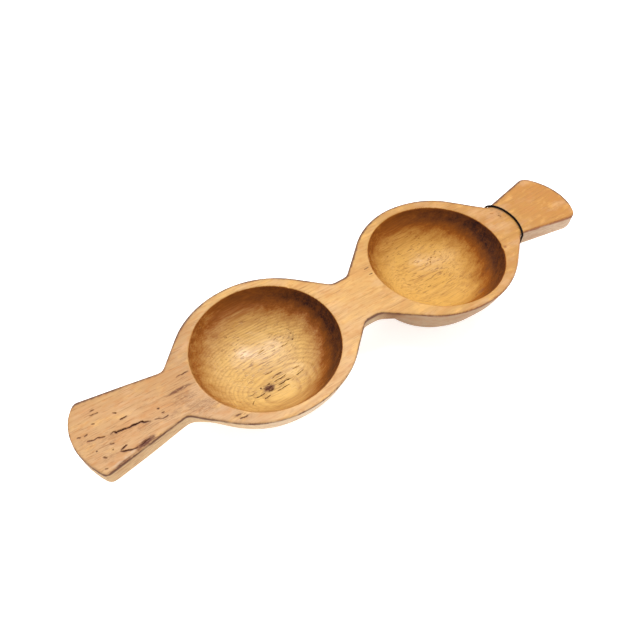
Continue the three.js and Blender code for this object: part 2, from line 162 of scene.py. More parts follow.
# Splits, dashes and pits that are cut into the board: a route in plan, its width and its depth
MARKS = [
    # The long split of the left handle, its hairline towards the neck and its faint tail
    ([(-199.8, -6.1), (-197, -5), (-195.6, -6.3), (-191.9, -6.9), (-187.3, -7.7), (-184.3, -7.9),
      (-181.3, -8.2), (-178.6, -8.6), (-178.1, -9.7), (-174.6, -11), (-172.5, -11.4)], 0.95, 1.4),
    ([(-173.5, -11.2), (-168.5, -12.3), (-166.6, -13.8), (-160.4, -14.4)], 0.6, 0.7),
    ([(-160.4, -14.4), (-150.4, -16.7)], 0.4, 0.3),
    ([(-199.8, -6.1), (-202.2, -5.3), (-205.9, -3.9), (-209.4, -3.5), (-215.4, -2)], 0.55, 0.4),
    # The forked split near the handle's lower edge
    ([(-192.5, -18.3), (-195.5, -18.9), (-197.8, -19.5)], 0.9, 0.8),
    ([(-197.8, -19.5), (-197.7, -20.7), (-196.5, -21.5), (-193.3, -22.6), (-189.6, -23.9),
      (-186.7, -24.1)], 0.8, 0.7),
    # Open pores and dents of the left handle and its neck
    ([(-190.4, 0.8), (-185.4, 0.9)], 0.9, 0.5),
    ([(-192.4, 8.5), (-190.3, 6.7)], 0.8, 0.4),
    ([(-167, -5.9), (-165.5, -5.6)], 1.1, 0.4),
    ([(-206.3, 15.1), (-200.1, 13.7)], 0.7, 0.3),
    ([(-204.7, 18), (-201.6, 17.2)], 0.7, 0.3),
    ([(-207.1, 7.7), (-204.8, 7.4)], 0.6, 0.3),
    ([(-214.4, 2.6), (-210.9, 2.2)], 0.6, 0.3),
    ([(-218.5, 4.3), (-215.5, 2.6)], 0.6, 0.3),
    ([(-202.1, -12.1), (-199, -12.7)], 0.6, 0.3),
    ([(-166.1, -9.8), (-162, -9.3)], 0.6, 0.3),
    ([(-148.2, 10.2), (-142.5, 9.9), (-136.2, 10.1)], 0.5, 0.3),
    ([(-208.6, -17.8), (-206.6, -19.9)], 1.3, 0.25),
    ([(-210.4, -25.9), (-208.6, -27.2)], 1.1, 0.2),
    ([(-210.9, -11.8), (-210.2, -12.2)], 1.0, 0.3),
    ([(-201.8, -16.1), (-201.2, -16.8)], 1.1, 0.3),
    ([(-203.5, -28.7), (-197, -27.2), (-191.5, -26)], 0.6, 0.5),
    ([(-186.7, -24.1), (-182, -22.4), (-179, -22.6)], 0.9, 0.6),
    # The knot on the left bowl's floor and the splits that run from it
    ([(-93.6, -14.2), (-90.2, -15.9), (-86.6, -15)], 3.4, 0.25),
    ([(-91.8, -18.8), (-87.2, -17.6)], 2.4, 0.35),
    ([(-90.4, -12.4), (-87, -11.7)], 1.3, 0.5),
    ([(-95.8, -12.6), (-94.6, -12.2)], 1.6, 0.5),
    ([(-84.7, -12.1), (-78, -12.3), (-71, -11.6)], 1.0, 0.7),
    ([(-84.4, -8.4), (-79, -7.4), (-73, -7.8)], 0.9, 0.5),
    ([(-83.8, -17.3), (-77, -17), (-71, -17.4)], 1.1, 0.8),
    ([(-87.4, -22.1), (-81, -21.6), (-75.2, -22)], 1.0, 0.7),
    ([(-67.8, -17.9), (-60.6, -17.6)], 0.9, 0.6),
    ([(-86.2, -2.8), (-78.8, -3)], 0.8, 0.4),
    ([(-67.7, -10.6), (-61, -12.4)], 0.8, 0.4),
    ([(-103.5, -19.8), (-98, -18.6), (-94.4, -18.3)], 1.1, 0.7),
    ([(-98.1, -24), (-92.4, -22.5)], 1.1, 0.7),
    ([(-105.3, -21.4), (-109, -26.3)], 0.8, 0.4),
    ([(-109.2, -15.8), (-103, -15), (-97, -13.4)], 0.8, 0.35),
    # Open pores on the two floors
    ([(-53.4, 10.8), (-52.6, 9.5)], 1.6, 0.4),
    ([(-53, 20.2), (-50.9, 17.8)], 1.0, 0.3),
    ([(-52.2, 15.2), (-51.2, 14.6)], 1.0, 0.3),
    ([(-63.7, 10.9), (-55.9, 10.2)], 0.6, 0.3),
    ([(-82.4, 16.2), (-75, 16.7)], 0.6, 0.3),
    ([(-97.2, 36.4), (-96.2, 36.4)], 1.0, 0.3),
    ([(-55, -19.2), (-52.9, -19.4)], 0.8, 0.3),
    ([(96.4, 18.3), (97.9, 18.1)], 0.9, 0.3),
    ([(93.4, 15.6), (94.7, 15.4)], 0.9, 0.3),
    ([(92.2, 13.4), (93.5, 13.3)], 0.9, 0.3),
    ([(87.6, 17.8), (100.5, 7.6)], 0.4, 0.2),
    ([(73.5, -4.8), (78.5, -4.8)], 0.9, 0.3),
    ([(94.7, -1.6), (95.9, -1.8)], 0.8, 0.3),
    ([(105.5, 0.6), (107, 0.4)], 0.8, 0.3),
    ([(90.6, -41.5), (93.1, -41.2)], 0.9, 0.3),
    # Short dashes beside the cord
    ([(150.6, 9.6), (153.6, 8)], 1.2, 0.1),
    ([(155.2, 4.6), (156.6, 1.6)], 1.3, 0.15),
    ([(158.8, 0.4), (161, -0.8)], 1.0, 0.1),
    # Hairlines on the rims
    ([(-128, -38.4), (-122.5, -39.8)], 0.45, 0.2),
    ([(-125.5, -42.6), (-119.1, -43.6)], 0.6, 0.3),
    ([(-121.5, -50.7), (-117.4, -50.9)], 0.8, 0.5),
    ([(20.4, 18.1), (26.2, 18.6)], 0.45, 0.2),
    ([(19.3, 11.2), (24.8, 11.4)], 0.45, 0.2),
]

# Soft stains: middle in plan, half lengths along and across the grain, turn in degrees, strength
STAINS = [
    ((-205, -20), (7, 5), -10, 0.45),
    ((-183, -24), (8, 2.6), 6, 1.0),
    ((-199, -28.6), (8, 2), 8, 0.9),
    ((-193, -5.5), (6, 3.2), -5, 0.35),
    ((-200, -9), (13, 8), -5, 0.42),
    ((-178, -13), (13, 6), -5, 0.4),
    ((-214, -6), (5, 13), 0, 0.4),
    ((-170, 2), (14, 5), 0, 0.3),
    ((-149, -0.3), (11, 2), 0, 0.9),
    ((-148, -8), (12, 6), -8, 0.55),
    ((-141, -20), (15, 9), -25, 0.55),
    ((-160, -15), (10, 4), 5, 0.45),
    ((-123, -42), (8, 4), -35, 0.6),
    ((-90, -15.9), (6.2, 4.8), 10, 1.0),
    ((-86, -17), (13, 6), 0, 0.45),
    ((-104, -17), (8, 5), 20, 0.4),
    ((-52.5, 13), (4.5, 6), 0, 0.5),
    ((106.5, -18.5), (4, 3), 0, 0.4),
    ((97.6, -41.1), (4.5, 2.4), 0, 0.65),
    ((156.2, 3.6), (2.6, 7), -24, 0.5),
    ((155.6, 12.6), (2.4, 2.6), 0, 0.5),
]

# Stains that follow a line: a route in plan, its half width and strength
STAIN_LINES = [
    ([(-207.6, -30.4), (-199.5, -29.2), (-193, -27.8), (-185.8, -25.8), (-178.9, -24.9), (-173, -24.2),
      (-163.1, -23.1), (-152.6, -21.5)], 1.1, 0.75),
    ([(-186.7, -24.1), (-182, -22.6), (-177.2, -22.8)], 1.6, 0.9),
]

# Pale scuffs beside the left handle's lower edge
SCUFFS = [
    ([(-205.4, -28.2), (-198, -26.4), (-190.4, -24.8)], 0.8, 0.6),
    ([(-186, -21.2), (-179, -20.4)], 0.6, 0.4),
]

# The hollows' darkened walls, partly oiled end grain and partly painted shade where they face away
# from the key light: turn from +X of the darkest place in degrees, the share of dark there and
# opposite, and the depths below the top face between which it fades out
DARKEST_TURN = -5
DARK_REACH = 150
DARK_MOST = 0.9
DARK_LEAST = 0.47
DARK_DEPTH = (9, 27)
DARK_DEEPER = 4               # added to the depths near the side that looks away from the light
DEEPER_TURN = -35
DEEPER_REACH = 60

# Small chips out of the hollows' rims: place in plan, radius and depth
CHIPS = [((-38.4, 37.3), 1.7, 0.9), ((130.9, -24.8), 2.2, 0.8)]


def mm(place):
    """A place given in millimetres on the plan, in metres in the model's frame."""
    return (Vector(place) + SHIFT) * MM


# Camera
def make_camera():
    sin_az, cos_az = math.sin(CAMERA_AZIMUTH), math.cos(CAMERA_AZIMUTH)
    sin_el, cos_el = math.sin(CAMERA_ELEVATION), math.cos(CAMERA_ELEVATION)
    back = Vector((sin_az * cos_el, -cos_az * cos_el, sin_el))
    level = Vector((cos_az, sin_az, 0))
    upright = back.cross(level)
    right = level * math.cos(CAMERA_ROLL) + upright * math.sin(CAMERA_ROLL)
    up = upright * math.cos(CAMERA_ROLL) - level * math.sin(CAMERA_ROLL)
    data = bpy.data.cameras.new("camera")
    data.sensor_width = SENSOR_WIDTH
    data.lens = FOCAL_PIXELS / FRAME_PIXELS * SENSOR_WIDTH
    data.clip_start = CLIP_START
    camera = bpy.data.objects.new("camera", data)
    turn = Matrix((right, up, back)).transposed().to_4x4()
    camera.matrix_world = Matrix.Translation(mm(CAMERA_PLACE)) @ turn
    bpy.context.scene.collection.objects.link(camera)
    bpy.context.scene.camera = camera


# Small helpers for meshes
def new_piece(name, mesh):
    piece = bpy.data.objects.new(name, mesh)
    bpy.context.scene.collection.objects.link(piece)
    return piece


def applied(piece, kind, **settings):
    """The piece with one modifier applied to its mesh."""
    modifier = piece.modifiers.new(kind, kind)
    for key, value in settings.items():
        setattr(modifier, key, value)
    graph = bpy.context.evaluated_depsgraph_get()
    mesh = bpy.data.meshes.new_from_object(piece.evaluated_get(graph))
    piece.modifiers.clear()
    old = piece.data
    piece.data = mesh
    bpy.data.meshes.remove(old)
    return piece


def coordinates(mesh):
    flat = np.zeros(len(mesh.vertices) * 3)
    mesh.vertices.foreach_get("co", flat)
    return flat.reshape(-1, 3)


def set_coordinates(mesh, places):
    mesh.vertices.foreach_set("co", places.ravel())
    mesh.update()


def edge_pairs(mesh):
    flat = np.zeros(len(mesh.edges) * 2, np.int64)
    mesh.edges.foreach_get("vertices", flat)
    return flat.reshape(-1, 2)


def smoothed(places, pairs, share, rounds):
    """Moves each vertex halfway to the mean of its neighbours, times its own share."""
    count = np.bincount(pairs.ravel(), minlength=len(places))[:, None]
    share = share[:, None] / 2
    for _ in range(rounds):
        total = np.zeros_like(places)
        for axis in range(places.shape[1]):
            total[:, axis] += np.bincount(pairs[:, 0], places[pairs[:, 1], axis], len(places))
            total[:, axis] += np.bincount(pairs[:, 1], places[pairs[:, 0], axis], len(places))
        places = places + share * (total / count - places)
    return places


def eased(value, low, high):
    """0 below low, 1 above high, and a smooth step between them."""
    t = np.clip((value - low) / (high - low), 0, 1)
    return t * t * (3 - 2 * t)


def waves(places, length, seed):
    """A smooth uneven field of about unit size, from a few sine waves in seeded directions."""
    rng = np.random.default_rng(seed)
    total = np.zeros(len(places))
    for _ in range(WAVE_COUNT):
        direction = rng.normal(size=3)
        direction *= 2 * math.pi / length * rng.uniform(*WAVE_SPREAD) / np.linalg.norm(direction)
        total += np.sin(places @ direction + rng.uniform(0, 2 * math.pi))
    return total / WAVE_SUM


def summed_waves(places, table, first_seed=0):
    """The sum of some fields: a table of heights, lengths and seeds."""
    return sum(height * waves(places, length, seed + first_seed) for height, length, seed in table)


# The carved board
def hollow_depth(out):
    """Depth of a hollow below the top face, at a share of the way from its middle to its rim."""
    return HOLLOW_DEPTH * np.clip(1 - out ** FLOOR_POWER, 0, None) ** (1 / WALL_POWER)


def skin_height(x, y):
    """Height of the board's upper skin over a place in plan."""
    height = np.full(np.shape(x), float(TRAY_HEIGHT))
    for bowl in BOWLS.values():
        out = np.hypot(x - bowl["x"], y) / bowl["rim_radius"]
        height = np.where(out < 1, TRAY_HEIGHT - hollow_depth(np.minimum(out, 1)), height)
    return height


def hollow_share(places):
    """1 on the skin of the two hollows and 0 elsewhere."""
    share = np.zeros(len(places))
    for bowl in BOWLS.values():
        away = np.hypot(places[:, 0] - bowl["x"], places[:, 1])
        below = TRAY_HEIGHT - places[:, 2]
        level = hollow_depth(np.minimum(away / bowl["rim_radius"], 1))
        from_wall = np.abs(away - bowl["rim_radius"]) + STEEP_ALLOWANCE
        from_wall = np.where(below < STEEP_WALL, from_wall, np.inf)
        gap = np.minimum(np.abs(below - level), from_wall)
        inside = (away < bowl["rim_radius"] + HOLLOW_MARGIN) & (gap < HOLLOW_GAP)
        share = np.maximum(share, np.where(inside, eased(below, *HOLLOW_FADE), 0))
    return share


def true_hollows(places):
    """Puts the skin of each hollow on its turned form, with the small unevenness of the gouge."""
    out = np.linspace(0, 1, PROFILE_STEPS)
    depth = hollow_depth(out)
    for seed, bowl in enumerate(BOWLS.values()):
        radius = out * bowl["rim_radius"]
        slope = np.arctan2(depth, radius)[::-1]
        reach = np.hypot(depth, radius)[::-1]
        x = places[:, 0] - bowl["x"]
        y = places[:, 1]
        below = TRAY_HEIGHT - places[:, 2]
        away = np.hypot(x, y)
        angle = np.arctan2(below, away)
        length = np.sqrt(away ** 2 + below ** 2)
        target = np.interp(angle, slope, reach)
        near = (np.abs(length - target) < CATCH_GAP) & (below > CATCH_DEPTH)
        inside = near & (away < bowl["rim_radius"] + CATCH_MARGIN)
        share = np.where(inside, eased(below, *RIM_BLEND), 0)
        uneven = summed_waves(places, GOUGE_WAVES, seed)
        scale = 1 + share * ((target + uneven) / np.maximum(length, 1) - 1)
        places[:, 0] = bowl["x"] + x * scale
        places[:, 1] = y * scale
        places[:, 2] = TRAY_HEIGHT - below * scale
    return places


def nearest_on_route(places, route):
    """Distance from each place to a route laid on the upper skin, and how far along it that is."""
    points = np.array(route, float)
    points = np.column_stack([points, skin_height(points[:, 0], points[:, 1])])
    lengths = np.linalg.norm(np.diff(points, axis=0), axis=1)
    starts = np.concatenate([[0], np.cumsum(lengths)])
    least = np.full(len(places), np.inf)
    along = np.zeros(len(places))
    for start, end, length, run in zip(points, points[1:], lengths, starts):
        direction = (end - start) / length
        t = np.clip((places - start) @ direction, 0, length)
        gap = np.linalg.norm(places - start - t[:, None] * direction, axis=1)
        closer = gap < least
        least = np.where(closer, gap, least)
        along = np.where(closer, (run + t) / starts[-1], along)
    return least, along


def near_route(places, route, reach):
    """Indices of the places in a box round a route, which is all that the route can touch."""
    points = np.array(route, float)
    low = points.min(axis=0) - reach
    high = points.max(axis=0) + reach
    plan = places[:, :2]
    inside = ((plan > low) & (plan < high)).all(axis=1)
    return np.flatnonzero(inside & (places[:, 2] > LEAST_MARK_HEIGHT))


def refined_near_marks(piece):
    """Makes the skin finer along the marks, so that they're cut into the mesh."""
    mesh = bmesh.new()
    mesh.from_mesh(piece.data)
    places = np.array([v.co for v in mesh.verts])
    near = np.zeros(len(places), bool)
    for route, width, _ in MARKS:
        reach = REFINE_REACH + width / 2
        chosen = near_route(places, route, reach)
        away, _ = nearest_on_route(places[chosen], route)
        near[chosen[away < reach]] = True
    mesh.verts.index_update()
    edges = [e for e in mesh.edges if near[e.verts[0].index] and near[e.verts[1].index]]
    bmesh.ops.subdivide_edges(mesh, edges=edges, cuts=REFINE_CUTS, use_grid_fill=True)
    mesh.to_mesh(piece.data)
    mesh.free()


def cut_marks(places):
    """Lowers the skin along the marks, and gives each place its share of the marks' colour."""
    shade = np.zeros(len(places))
    jagged = places.copy()
    jagged[:, 1] += summed_waves(places, JAG_WAVES)
    drop = np.zeros(len(places))
    for seed, (route, width, depth) in enumerate(MARKS):
        chosen = near_route(places, route, width + MARK_MARGIN)
        away, along = nearest_on_route(jagged[chosen], route)
        from_end = np.minimum(along, 1 - along)
        taper = np.sqrt(np.clip(MARK_TAPER * from_end, MARK_LEAST_TAPER, 1))
        ragged = 1 + summed_waves(places[chosen], [WIDTH_WAVE], seed)
        cut = 1 - eased(away / (width * taper * ragged / 2), *MARK_FADE)
        drop[chosen] = np.maximum(drop[chosen], depth * taper * cut)
        darkness = min(1, MARK_SHADE + depth * MARK_SHADE_BY_DEPTH)
        shade[chosen] = np.maximum(shade[chosen], cut * darkness)
    on_rim = eased(places[:, 2], TRAY_HEIGHT - CHIP_BAND[0], TRAY_HEIGHT - CHIP_BAND[1])
    for (x, y), radius, depth in CHIPS:
        away = np.hypot(places[:, 0] - x, places[:, 1] - y) / radius
        away = away * (1 + summed_waves(places, [CHIP_WAVE]))
        drop = np.maximum(drop, depth * on_rim * (1 - eased(away, *CHIP_FADE)))
    places[:, 2] -= drop
    return shade


def line_share(places, lines):
    """How near each place lies to the routes of a table of routes, half widths and strengths."""
    share = np.zeros(len(places))
    for route, half_width, strength in lines:
        chosen = near_route(places, route, 2 * half_width)
        away, _ = nearest_on_route(places[chosen], route)
        near = strength * (1 - eased(away / half_width, *LINE_FADE))
        share[chosen] = np.maximum(share[chosen], near)
    return share


def stain_share(places):
    """How strongly each place of the top face and the hollows is stained."""
    in_hollow = np.zeros(len(places), bool)
    for bowl in BOWLS.values():
        in_hollow |= np.hypot(places[:, 0] - bowl["x"], places[:, 1]) < bowl["rim_radius"]
    lowest = np.where(in_hollow, LEAST_MARK_HEIGHT, TRAY_HEIGHT - STAIN_DEPTH)
    rise = np.where(in_hollow, STAIN_RISE_HOLLOW, STAIN_RISE_TOP)
    on_skin = eased(places[:, 2], lowest, lowest + rise)
    share = np.zeros(len(places))
    for (x, y), (half_along, half_across), turn, strength in STAINS:
        c = math.cos(math.radians(turn))
        s = math.sin(math.radians(turn))
        dx = places[:, 0] - x
        dy = places[:, 1] - y
        out = np.hypot((dx * c + dy * s) / half_along, (dy * c - dx * s) / half_across)
        share = np.maximum(share, strength * (1 - eased(out, *STAIN_FADE)) * on_skin)
    return np.maximum(share, line_share(places, STAIN_LINES))


def wall_grain_and_shade_share(places):
    """How far the walls of the hollows are darkened: partly oiled end grain, partly painted shade on
    the walls that face away from the key light.
    """
    share = np.zeros(len(places))
    below = TRAY_HEIGHT - places[:, 2]
    for bowl in BOWLS.values():
        x = places[:, 0] - bowl["x"]
        y = places[:, 1]
        inside = np.hypot(x, y) < bowl["rim_radius"] + HOLLOW_MARGIN
        turn = np.degrees(np.arctan2(y, x))
        paler = eased(np.abs(turn - DARKEST_TURN), 0, DARK_REACH)
        amount = DARK_MOST - (DARK_MOST - DARK_LEAST) * paler
        deeper = DARK_DEEPER * (1 - eased(np.abs(turn - DEEPER_TURN), 0, DEEPER_REACH))
        fade = np.clip((below - deeper - DARK_DEPTH[0]) / (DARK_DEPTH[1] - DARK_DEPTH[0]), 0, 1)
        share = np.maximum(share, np.where(inside, amount * (1 - fade), 0))
    return share


def edge_line(mesh):
    """1 along the edge where the top face turns down to the outer sides, and 0 soon beside it."""
    flat = np.zeros(len(mesh.vertices) * 3)
    mesh.vertices.foreach_get("normal", flat)
    normal = flat.reshape(-1, 3)
    lift = normal[:, 2]
    places = coordinates(mesh) / MM - np.array(SHIFT)
    far_side = normal[:, :2] @ FAR_SIDE > FAR_LEAST
    limit = np.where(far_side, EDGE_LIMIT_FAR, EDGE_LIMIT)
    high = places[:, 2] > TRAY_HEIGHT - EDGE_DEPTH
    line = (high & (lift < limit) & (lift > EDGE_STEEPEST)).astype(float)
    for bowl in BOWLS.values():
        away = np.hypot(places[:, 0] - bowl["x"], places[:, 1])
        line[away < bowl["rim_radius"] + EDGE_RIM_MARGIN] = 0
    pairs = edge_pairs(mesh)
    far_line = line * far_side
    ring = np.zeros(len(line))
    np.maximum.at(ring, pairs[:, 0], far_line[pairs[:, 1]])
    np.maximum.at(ring, pairs[:, 1], far_line[pairs[:, 0]])
    line = np.maximum(line, FAR_RING * ring)
    return smoothed(line[:, None], pairs, np.ones(len(line)), EDGE_ROUNDS)[:, 0]


def add_share(mesh, name, values):
    mesh.attributes.new(name, "FLOAT", "POINT").data.foreach_set("value", values)


def solid_in_millimetres(name, node):
    """A copy of a solid, its vertices merged, in millimetres on the plan."""
    piece = new_piece(name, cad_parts[node].data.copy())
    piece.data.materials.clear()
    mesh = bmesh.new()
    mesh.from_mesh(piece.data)
    bmesh.ops.remove_doubles(mesh, verts=mesh.verts, dist=MERGE_DISTANCE)
    for vert in mesh.verts:
        vert.co = vert.co / MM - SHIFT
    mesh.to_mesh(piece.data)
    mesh.free()
    return piece


def carve_skin(piece):
    """Makes the solid's facets into a fine, hand-carved skin."""
    voxel = VOXEL
    applied(piece, "REMESH", mode="VOXEL", voxel_size=voxel, adaptivity=0)
    places = coordinates(piece.data)
    pairs = edge_pairs(piece.data)
    flank = eased(TRAY_HEIGHT - places[:, 2], *FLANK_BLEND)
    rounds = max(1, round(FLANK_ROUNDS * (VOXEL / voxel) ** 2))
    places = smoothed(places, pairs, flank, rounds)
    places = true_hollows(places)
    rounds = SKIN_ROUNDS
    places = smoothed(places, pairs, np.ones(len(places)), rounds)
    at_top = eased(places[:, 2], TRAY_HEIGHT - TOP_BAND[0], TRAY_HEIGHT - TOP_BAND[1])
    places[:, 2] += at_top * (summed_waves(places, [TOP_WAVE]) - TOP_WAVE[0])
    set_coordinates(piece.data, places)


def make_tray():
    piece = solid_in_millimetres("tray_wood", "carved_tray")
    carve_skin(piece)
    refined_near_marks(piece)
    places = coordinates(piece.data)
    shares = {
        "hollow": hollow_share(places),
        "stain": stain_share(places),
        "scuff": line_share(places, SCUFFS),
        # the hollows' walls: partly oiled end grain, partly painted shade
        "wall_grain_and_shade": wall_grain_and_shade_share(places),
        "mark": cut_marks(places),
    }
    set_coordinates(piece.data, (places + np.array(SHIFT)) * MM)
    for name, values in shares.items():
        add_share(piece.data, name, values)
    add_share(piece.data, "edge_line", edge_line(piece.data))
    piece.data.polygons.foreach_set("use_smooth", [True] * len(piece.data.polygons))
    return piece


# The cord
def smooth_route(points, step):
    """Points a step apart along the centripetal Catmull-Rom curve through the given points."""
    p = np.array(points, float)
    p = np.vstack([2 * p[0] - p[1], p, 2 * p[-1] - p[-2]])
    dense = []
    for i in range(1, len(p) - 2):
        knots = [0.0]
        for a, b in zip(p[i - 1:i + 2], p[i:i + 3]):
            knots.append(knots[-1] + math.sqrt(max(np.linalg.norm(b - a), LEAST_SPAN)))
        t0, t1, t2, t3 = knots
        for t in np.linspace(t1, t2, SPAN_STEPS, endpoint=False):
            a1 = ((t1 - t) * p[i - 1] + (t - t0) * p[i]) / (t1 - t0)
            a2 = ((t2 - t) * p[i] + (t - t1) * p[i + 1]) / (t2 - t1)
            a3 = ((t3 - t) * p[i + 1] + (t - t2) * p[i + 2]) / (t3 - t2)
            b1 = ((t2 - t) * a1 + (t - t0) * a2) / (t2 - t0)
            b2 = ((t3 - t) * a2 + (t - t1) * a3) / (t3 - t1)
            dense.append(((t2 - t) * b1 + (t - t1) * b2) / (t2 - t1))
    dense.append(p[-2])
    dense = np.array(dense)
    run = np.concatenate([[0], np.cumsum(np.linalg.norm(np.diff(dense, axis=0), axis=1))])
    places = np.linspace(0, run[-1], max(2, round(run[-1] / step)) + 1)
    return np.column_stack([np.interp(places, run, dense[:, k]) for k in range(3)])


def carried_normals(line):
    """Two cross directions at each point of a line, carried along it without twist."""
    along = np.gradient(line, axis=0)
    along /= np.linalg.norm(along, axis=1)[:, None]
    nearly_upright = abs(along[0][2]) >= 0.9
    first = np.cross(along[0], (1, 0, 0) if nearly_upright else (0, 0, 1))
    sides = [first / np.linalg.norm(first)]
    for direction in along[1:]:
        side = sides[-1] - direction * np.dot(sides[-1], direction)
        sides.append(side / np.linalg.norm(side))
    sides = np.array(sides)
    return sides, np.cross(along, sides)


def add_tube(mesh, line, radius):
    """Adds a closed round tube along a line, drawn in a little at its two ends."""
    sides, ups = carried_normals(line)
    rings = []
    for i, centre in enumerate(line):
        at_end = i in (0, len(line) - 1)
        width = radius * (STRAND_TIP if at_end else 1)
        ring = []
        for k in range(STRAND_SIDES):
            angle = 2 * math.pi * k / STRAND_SIDES
            outward = math.cos(angle) * sides[i] + math.sin(angle) * ups[i]
            ring.append(mesh.verts.new(centre + width * outward))
        rings.append(ring)
    for a, b in zip(rings, rings[1:]):
        for k in range(STRAND_SIDES):
            n = (k + 1) % STRAND_SIDES
            mesh.faces.new((a[k], b[k], b[n], a[n]))
    mesh.faces.new(rings[0])
    mesh.faces.new(rings[-1][::-1])


def add_twisted(mesh, line):
    """Adds the strands of a twisted cord that follows a line."""
    sides, ups = carried_normals(line)
    run = np.concatenate([[0], np.cumsum(np.linalg.norm(np.diff(line, axis=0), axis=1))])
    strand_radius = CORD_DIAMETER * STRAND_SHARE / 2
    offset = CORD_DIAMETER / 2 - strand_radius
    for s in range(CORD_STRANDS):
        turn = 2 * math.pi * (run / CORD_PITCH + s / CORD_STRANDS)
        strand = line + offset * (np.cos(turn)[:, None] * sides + np.sin(turn)[:, None] * ups)
        add_tube(mesh, strand, strand_radius)


def knot_line():
    """The cord's own turns round itself where it is knotted."""
    turns = np.linspace(0, KNOT_TURNS, KNOT_STEPS)
    angle = 2 * math.pi * turns
    x = KNOT_PLACE[0] + KNOT_RADIUS * np.cos(angle)
    z = KNOT_PLACE[2] + KNOT_RADIUS * np.sin(angle)
    y = KNOT_PLACE[1] + (turns - KNOT_TURNS / 2) * KNOT_PITCH
    return np.column_stack([x, y, z])


def make_cord():
    mesh = bmesh.new()
    add_twisted(mesh, smooth_route(LOOP_ROUTE, CORD_STEP))
    add_twisted(mesh, knot_line())
    for route in TAIL_ROUTES:
        add_twisted(mesh, smooth_route(route, CORD_STEP))
    for vert in mesh.verts:
        vert.co = (vert.co + SHIFT) * MM
    bmesh.ops.recalc_face_normals(mesh, faces=mesh.faces)
    data = bpy.data.meshes.new("cord_strands")
    mesh.to_mesh(data)
    mesh.free()
    data.polygons.foreach_set("use_smooth", [True] * len(data.polygons))
    return new_piece("cord_strands", data)


# Materials
class Nodes:
    """Short calls that add and link the nodes of one material."""

    def __init__(self, name):
        self.material = bpy.data.materials.new(name)
        self.material.use_nodes = True
        self.tree = self.material.node_tree
        self.shader = self.tree.nodes["Principled BSDF"]

    def add(self, kind, inputs=None, **settings):
        node = self.tree.nodes.new("ShaderNode" + kind)
        for key, value in settings.items():
            setattr(node, key, value)
        for key, value in (inputs or {}).items():
            self.put(value, node.inputs[key])
        return node

    def put(self, value, socket):
        if isinstance(value, bpy.types.NodeSocket):
            self.tree.links.new(value, socket)
        else:
            socket.default_value = value

    def place(self):
        """The place on the object in millimetres, before the shift."""
        where = self.add("TexCoord").outputs["Object"]
        scale = [1 / MM] * 3
        offset = [-c for c in SHIFT]
        return self.add("Mapping", {"Vector": where, "Scale": scale, "Location": offset}).outputs[0]

    def painted(self, name):
        """A share that the mesh carries."""
        return self.add("Attribute", attribute_name=name).outputs["Fac"]

    def noise(self, vector, scale, detail=2.0, roughness=0.5):
        """Noise with its own cycles per millimetre along X, Y and Z."""
        scaled = self.add("Mapping", {"Vector": vector, "Scale": scale}).outputs[0]
        node = self.add("TexNoise", {"Vector": scaled, "Scale": 1.0, "Detail": detail,
                                     "Roughness": roughness})
        return node.outputs["Fac"]

    def math(self, operation, *values):
        node = self.add("Math", operation=operation)
        for value, socket in zip(values, node.inputs):
            self.put(value, socket)
        return node.outputs[0]

    def total(self, *values):
        total = values[0]
        for value in values[1:]:
            total = self.math("ADD", total, value)
        return total

    def product(self, *values):
        product = values[0]
        for value in values[1:]:
            product = self.math("MULTIPLY", product, value)
        return product

    def span(self, value, low, high, to_low=0.0, to_high=1.0, linear=False):
        node = self.add("MapRange", {"Value": value, "From Min": low, "From Max": high,
                                     "To Min": to_low, "To Max": to_high},
                        interpolation_type="LINEAR" if linear else "SMOOTHSTEP")
        return node.outputs[0]

    def mix(self, share, a, b):
        node = self.add("Mix", data_type="RGBA")
        self.put(share, node.inputs[0])
        self.put(a, node.inputs[6])
        self.put(b, node.inputs[7])
        return node.outputs[2]

    def ramp(self, value, stops):
        """Colours at places along a value: a list of value and colour."""
        low, high = stops[0][0], stops[-1][0]
        node = self.add("ValToRGB", {"Fac": self.span(value, low, high, linear=True)})
        band = node.color_ramp
        while len(band.elements) < len(stops):
            band.elements.new(0.5)
        for element, (at, colour) in zip(band.elements, stops):
            element.position = (at - low) / (high - low)
            element.color = colour
        return node.outputs[0]

    def bumped(self, height, strength):
        """Gives the surface a small relief."""
        bump = self.add("Bump", {"Height": height, "Strength": strength, "Distance": RELIEF_DEPTH})
        self.put(bump.outputs[0], self.shader.inputs["Normal"])

    def split(self, vector):
        return self.add("SeparateXYZ", {"Vector": vector}).outputs

    def join(self, x, y, z):
        return self.add("CombineXYZ", {"X": x, "Y": y, "Z": z}).outputs[0]


def srgb(red, green, blue):
    """A colour given as it looks, from 0 to 255, in the renderer's linear values."""
    def linear(value):
        share = value / 255
        return share / 12.92 if share <= 0.04045 else ((share + 0.055) / 1.055) ** 2.4
    return (linear(red), linear(green), linear(blue), 1)


TOP_ALONG = [                       # the top face from the left tip to the right one
    (-210, srgb(179, 139, 91)),
    (-160, srgb(174, 133, 84)),
    (-130, srgb(168, 131, 88)),
    (-85, srgb(194, 155, 95)),
    (0, srgb(194, 150, 88)),
    (60, srgb(180, 137, 76)),
    (110, srgb(172, 127, 68)),
    (150, srgb(174, 125, 60)),
    (215, srgb(170, 115, 46)),
]
SIDE_ALONG = [                      # the outer sides, likewise; paler partly by their own tone and partly by painted light bounced up from the pale table
    (-200, srgb(182, 150, 106)),
    (-130, srgb(196, 168, 130)),
    (-80, srgb(196, 176, 148)),
    (0, srgb(170, 148, 118)),
    # painted shadow in the notch where the waist meets the right bowl's flank
    (7, srgb(150, 120, 90)),
    (13, srgb(112, 78, 50)),
    (20, srgb(134, 106, 78)),
    (34, srgb(146, 122, 96)),
    (80, srgb(150, 126, 100)),
    (150, srgb(168, 145, 120)),
    (200, srgb(182, 159, 135)),
]
